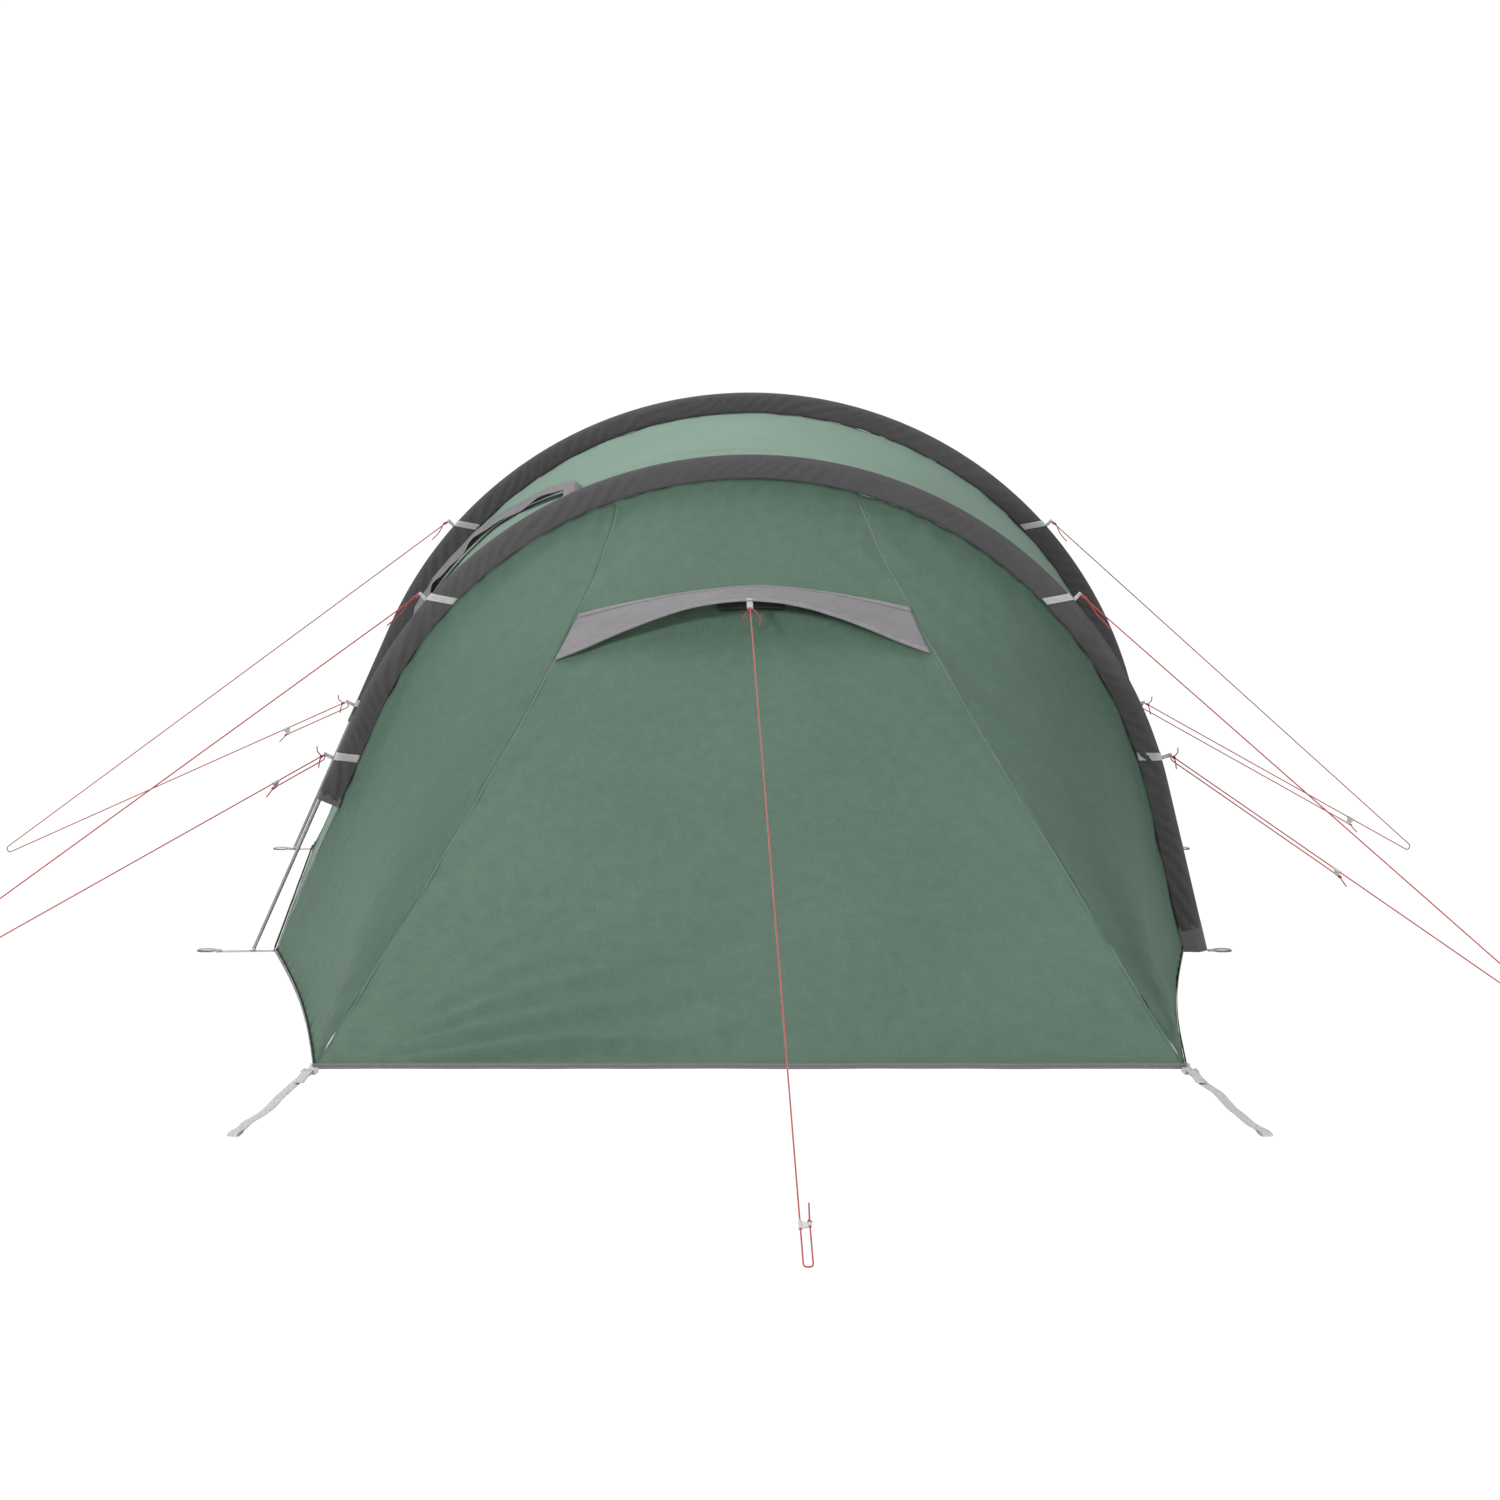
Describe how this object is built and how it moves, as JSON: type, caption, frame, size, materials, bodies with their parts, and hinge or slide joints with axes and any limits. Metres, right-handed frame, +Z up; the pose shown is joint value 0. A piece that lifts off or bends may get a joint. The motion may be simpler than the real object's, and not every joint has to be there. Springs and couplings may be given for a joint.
{
  "type": "two-hoop tunnel tent",
  "caption": "Two-hoop tunnel tent on fibreglass poles, with a sloping vented rear, side and front doors, an inner tent, guylines with runners and adjustable peg straps.",
  "frame": {"origin": "on the ground under the groundsheet, on the tent's centre plane, half way along the flysheet", "axes": "+X across the tent to the right seen from its low rear end, +Y along the tent from the low rear end to the porch, +Z up"},
  "size_m": [4.0428, 5.7035, 1.3161],
  "materials": {
    "fly_green": "coated polyester, matt",
    "roof_green": "coated polyester, lit through",
    "sleeve_charcoal": "woven polyester, matt",
    "hood_grey": "woven polyester, matt",
    "binding_grey": "woven tape",
    "mesh": "fine insect mesh",
    "zip_black": "coil zip",
    "slider_metal": "satin",
    "webbing": "woven polypropylene webbing",
    "guy_cord": "braided",
    "runner_plastic": "moulded",
    "buckle_plastic": "moulded",
    "fibreglass": "pultruded fibreglass",
    "ferrule_steel": "plain",
    "tip_metal": "plain",
    "brass_eyelet": "nickel plated",
    "shock_cord": "elastic core",
    "groundsheet_pe": "woven polyethylene",
    "inner_fabric": "breathable polyester",
    "hanger": "elastic loop and toggle"
  },
  "bodies": {
    "tent": {"bathtub_walls": "groundsheet_pe", "corner_tabs": "webbing", "foot_strap_eyelets": "brass_eyelet", "foot_straps": "webbing", "front_centre_panel": "fly_green", "front_guy_bands": "webbing", "front_left_gusset": "fly_green", "front_left_guyline": "guy_cord", "front_left_leg_pole": "fibreglass", "front_pole_ferrules": "ferrule_steel", "front_pole_sections": "fibreglass", "front_pole_sleeve": "sleeve_charcoal", "front_pole_tips": "tip_metal", "front_right_gusset": "fly_green", "front_right_guyline": "guy_cord", "front_shock_cord": "shock_cord", "groundsheet": "groundsheet_pe", "hem_bindings": "binding_grey", "inner_canopy": "inner_fabric", "inner_front_wall": "inner_fabric", "inner_hangers": "hanger", "inner_rear_wall": "inner_fabric", "ladder_lock_buckles": "buckle_plastic", "rear_centre_panel": "fly_green", "rear_guy_bands": "webbing", "rear_guyline": "guy_cord", "rear_left_gusset": "fly_green", "rear_left_guyline": "guy_cord", "rear_left_leg_pole": "fibreglass", "rear_pole_ferrules": "ferrule_steel", "rear_pole_sections": "fibreglass", "rear_pole_sleeve": "sleeve_charcoal", "rear_pole_tips": "tip_metal", "rear_right_gusset": "fly_green", "rear_right_guyline": "guy_cord", "rear_shock_cord": "shock_cord", "rear_vent_guy_tab": "webbing", "rear_vent_hood": "hood_grey", "rear_vent_mesh": "mesh", "rear_vent_strut": "fibreglass", "side_door_storm_flap": "hood_grey", "sleeve_end_bindings": "binding_grey", "sleeve_end_pockets": "binding_grey", "tunnel_panel": "roof_green"},
    "side_door": {"side_door": "fly_green", "side_door_zip": "zip_black"},
    "front_door": {"front_door": "fly_green", "front_door_zips": "zip_black"},
    "inner_door": {"inner_door": "inner_fabric"},
    "side_zip_slider": {"side_zip_slider": "slider_metal"},
    "front_zip_slider": {"front_zip_slider": "slider_metal"},
    "rear_left_runner": {"rear_left_runner": "runner_plastic"},
    "rear_left_corner_strap": {"rear_left_corner_strap": "webbing"},
    "rear_right_runner": {"rear_right_runner": "runner_plastic"},
    "rear_right_corner_strap": {"rear_right_corner_strap": "webbing"},
    "front_left_runner": {"front_left_runner": "runner_plastic"},
    "front_left_corner_strap": {"front_left_corner_strap": "webbing"},
    "front_right_runner": {"front_right_runner": "runner_plastic"},
    "front_right_corner_strap": {"front_right_corner_strap": "webbing"},
    "rear_runner": {"rear_runner": "runner_plastic"}
  },
  "joints": [
    {"name": "side_door_fold", "type": "hinge", "parent": "tent", "child": "side_door", "pos_m": [-1.15641, -0.42364, 0.02833], "axis": [0.0767, -0.9971, 0], "range_deg": [0, 100]},
    {"name": "front_door_fold", "type": "hinge", "parent": "tent", "child": "front_door", "pos_m": [0.8723, 1.85863, 0.03992], "axis": [-1, 0, 0], "range_deg": [0, 120]},
    {"name": "inner_door_fold", "type": "hinge", "parent": "tent", "child": "inner_door", "pos_m": [0, 0.39693, 0.1218], "axis": [-1, 0, 0], "range_deg": [0, 88]},
    {"name": "side_zip", "type": "slide", "parent": "tent", "child": "side_zip_slider", "axis": [0.4147, 0, 0.91], "range_m": [0, 0.38]},
    {"name": "front_zip", "type": "slide", "parent": "tent", "child": "front_zip_slider", "axis": [-0.4589, -0.576, 0.6765], "range_m": [0, 1.4]},
    {"name": "rear_runner_slide", "type": "slide", "parent": "tent", "child": "rear_runner", "axis": [0.0359, -0.9317, -0.3614], "range_m": [0, 0.06]},
    {"name": "rear_left_runner_slide", "type": "slide", "parent": "tent", "child": "rear_left_runner", "axis": [0.6364, 0.7036, 0.3161], "range_m": [0, 0.11]},
    {"name": "rear_right_runner_slide", "type": "slide", "parent": "tent", "child": "rear_right_runner", "axis": [-0.5905, 0.714, 0.3762], "range_m": [0, 0.45]},
    {"name": "front_left_runner_slide", "type": "slide", "parent": "tent", "child": "front_left_runner", "axis": [0.9133, 0.0421, 0.4052], "range_m": [0, 0.14]},
    {"name": "front_right_runner_slide", "type": "slide", "parent": "tent", "child": "front_right_runner", "axis": [-0.873, 0, 0.4877], "range_m": [0, 0.55]},
    {"name": "rear_left_strap_slide", "type": "slide", "parent": "tent", "child": "rear_left_corner_strap", "axis": [-0.1392, -0.9903, 0], "range_m": [0, 0.03]},
    {"name": "rear_right_strap_slide", "type": "slide", "parent": "tent", "child": "rear_right_corner_strap", "axis": [0.1392, -0.9903, 0], "range_m": [0, 0.03]},
    {"name": "front_left_strap_slide", "type": "slide", "parent": "tent", "child": "front_left_corner_strap", "axis": [-0.1392, 0.9903, 0], "range_m": [0, 0.03]},
    {"name": "front_right_strap_slide", "type": "slide", "parent": "tent", "child": "front_right_corner_strap", "axis": [0.1392, 0.9903, 0], "range_m": [0, 0.03]}
  ]
}
